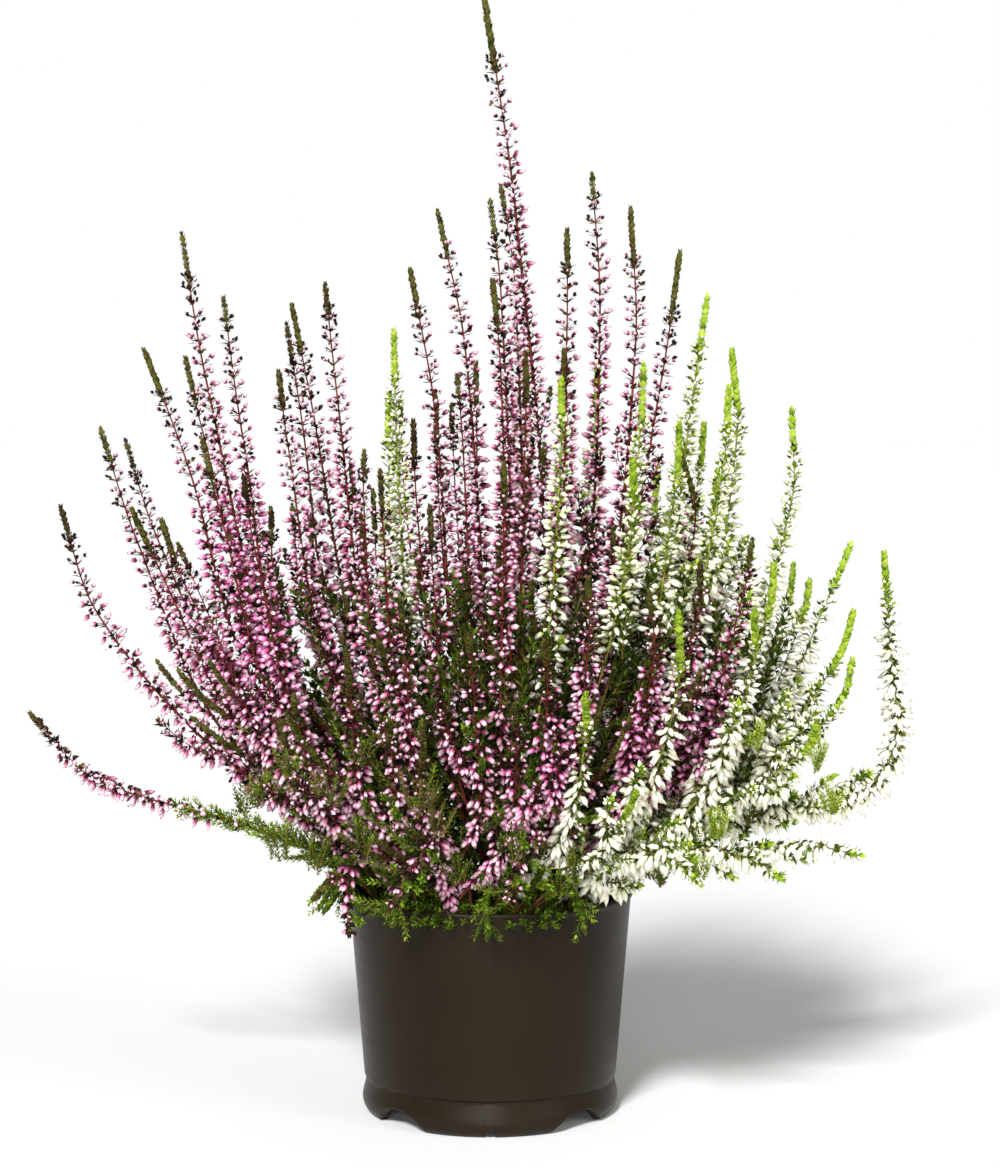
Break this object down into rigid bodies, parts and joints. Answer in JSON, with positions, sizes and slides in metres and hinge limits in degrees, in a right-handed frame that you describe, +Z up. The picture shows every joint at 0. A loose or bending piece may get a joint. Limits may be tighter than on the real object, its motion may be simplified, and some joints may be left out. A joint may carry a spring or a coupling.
{
  "type": "potted heather",
  "caption": "Bud-blooming heather in a round plastic nursery pot: upright spikes, pink on the left and in the middle, white on the right, over low leafy shoots.",
  "frame": {"origin": "at the level the pot stands on, under the middle of the plant's outline box; the pot's axis is 7.7 mm to the right and 9.8 mm to the front of it", "axes": "+Z up; -Y towards the viewer of the picture; +X to the right, where the white spikes are"},
  "size_m": [0.3254, 0.1876, 0.4082],
  "materials": {
    "pot": "satin dark brown polypropylene",
    "soil": "matt, fibrous dark peat",
    "pink_flowers": "soft, waxy pink buds on red-brown stems",
    "white_flowers": "soft, waxy ivory buds on green stems",
    "foliage": "matt scale leaves, moss green"
  },
  "bodies": {
    "root": {"pot": "pot", "soil": "soil", "back_1": "pink_flowers", "back_2": "pink_flowers", "back_3": "pink_flowers", "back_4": "pink_flowers", "back_5": "pink_flowers", "back_6": "white_flowers", "back_7": "white_flowers", "back_8": "white_flowers", "back_9": "white_flowers", "fringe_1": "foliage", "fringe_2": "foliage", "fringe_3": "foliage", "fringe_4": "foliage", "fringe_5": "foliage", "fringe_6": "foliage", "fringe_7": "foliage", "pink_centre_left": "pink_flowers", "pink_centre_low": "pink_flowers", "pink_dense": "pink_flowers", "pink_front_centre": "pink_flowers", "pink_front_left": "pink_flowers", "pink_front_mid": "pink_flowers", "pink_front_right": "pink_flowers", "pink_front_short": "pink_flowers", "pink_left_arch": "pink_flowers", "pink_left_bent": "pink_flowers", "pink_left_front": "pink_flowers", "pink_left_inner": "pink_flowers", "pink_left_low": "pink_flowers", "pink_left_outer": "pink_flowers", "pink_left_rim": "pink_flowers", "pink_left_second": "pink_flowers", "pink_left_tall": "pink_flowers", "pink_mid_first": "pink_flowers", "pink_mid_low": "pink_flowers", "pink_mid_second": "pink_flowers", "pink_mid_third": "pink_flowers", "pink_over_rim": "pink_flowers", "pink_pair_left": "pink_flowers", "pink_pair_right": "pink_flowers", "pink_right_inner": "pink_flowers", "pink_right_outer": "pink_flowers", "pink_right_tall": "pink_flowers", "pink_tallest": "pink_flowers", "white_arch": "white_flowers", "white_centre": "white_flowers", "white_front": "white_flowers", "white_left": "white_flowers", "white_low_front": "white_flowers", "white_low_right": "white_flowers", "white_right_back": "white_flowers", "white_right_first": "white_flowers", "white_right_front": "white_flowers", "white_right_low": "white_flowers", "white_right_outer": "white_flowers", "white_right_second": "white_flowers", "white_right_tall": "white_flowers", "white_right_third": "white_flowers"}
  },
  "joints": []
}
